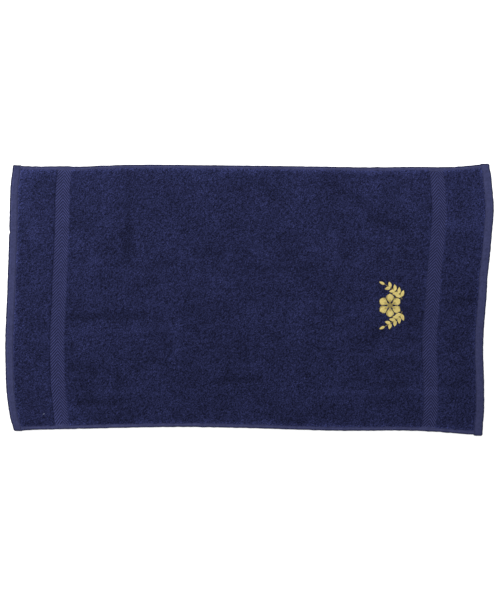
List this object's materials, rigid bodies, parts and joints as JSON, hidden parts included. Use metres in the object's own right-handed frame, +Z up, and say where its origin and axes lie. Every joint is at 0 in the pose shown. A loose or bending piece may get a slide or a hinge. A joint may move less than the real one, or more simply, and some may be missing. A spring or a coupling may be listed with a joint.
{
  "type": "bath towel",
  "caption": "Terry cloth bath towel laid out flat, with a flat woven chevron band near each end and folded hems all round.",
  "frame": {"origin": "under the middle of the towel's box, on the surface that it lies on", "axes": "+X along the towel's length, +Y across its width, +Z up out of the face that shows"},
  "size_m": [1.3002, 0.7234, 0.0048],
  "materials": {
    "navy_terry": "matt cotton terry pile in navy blue"
  },
  "bodies": {
    "root": {"towel": "navy_terry"}
  },
  "joints": []
}
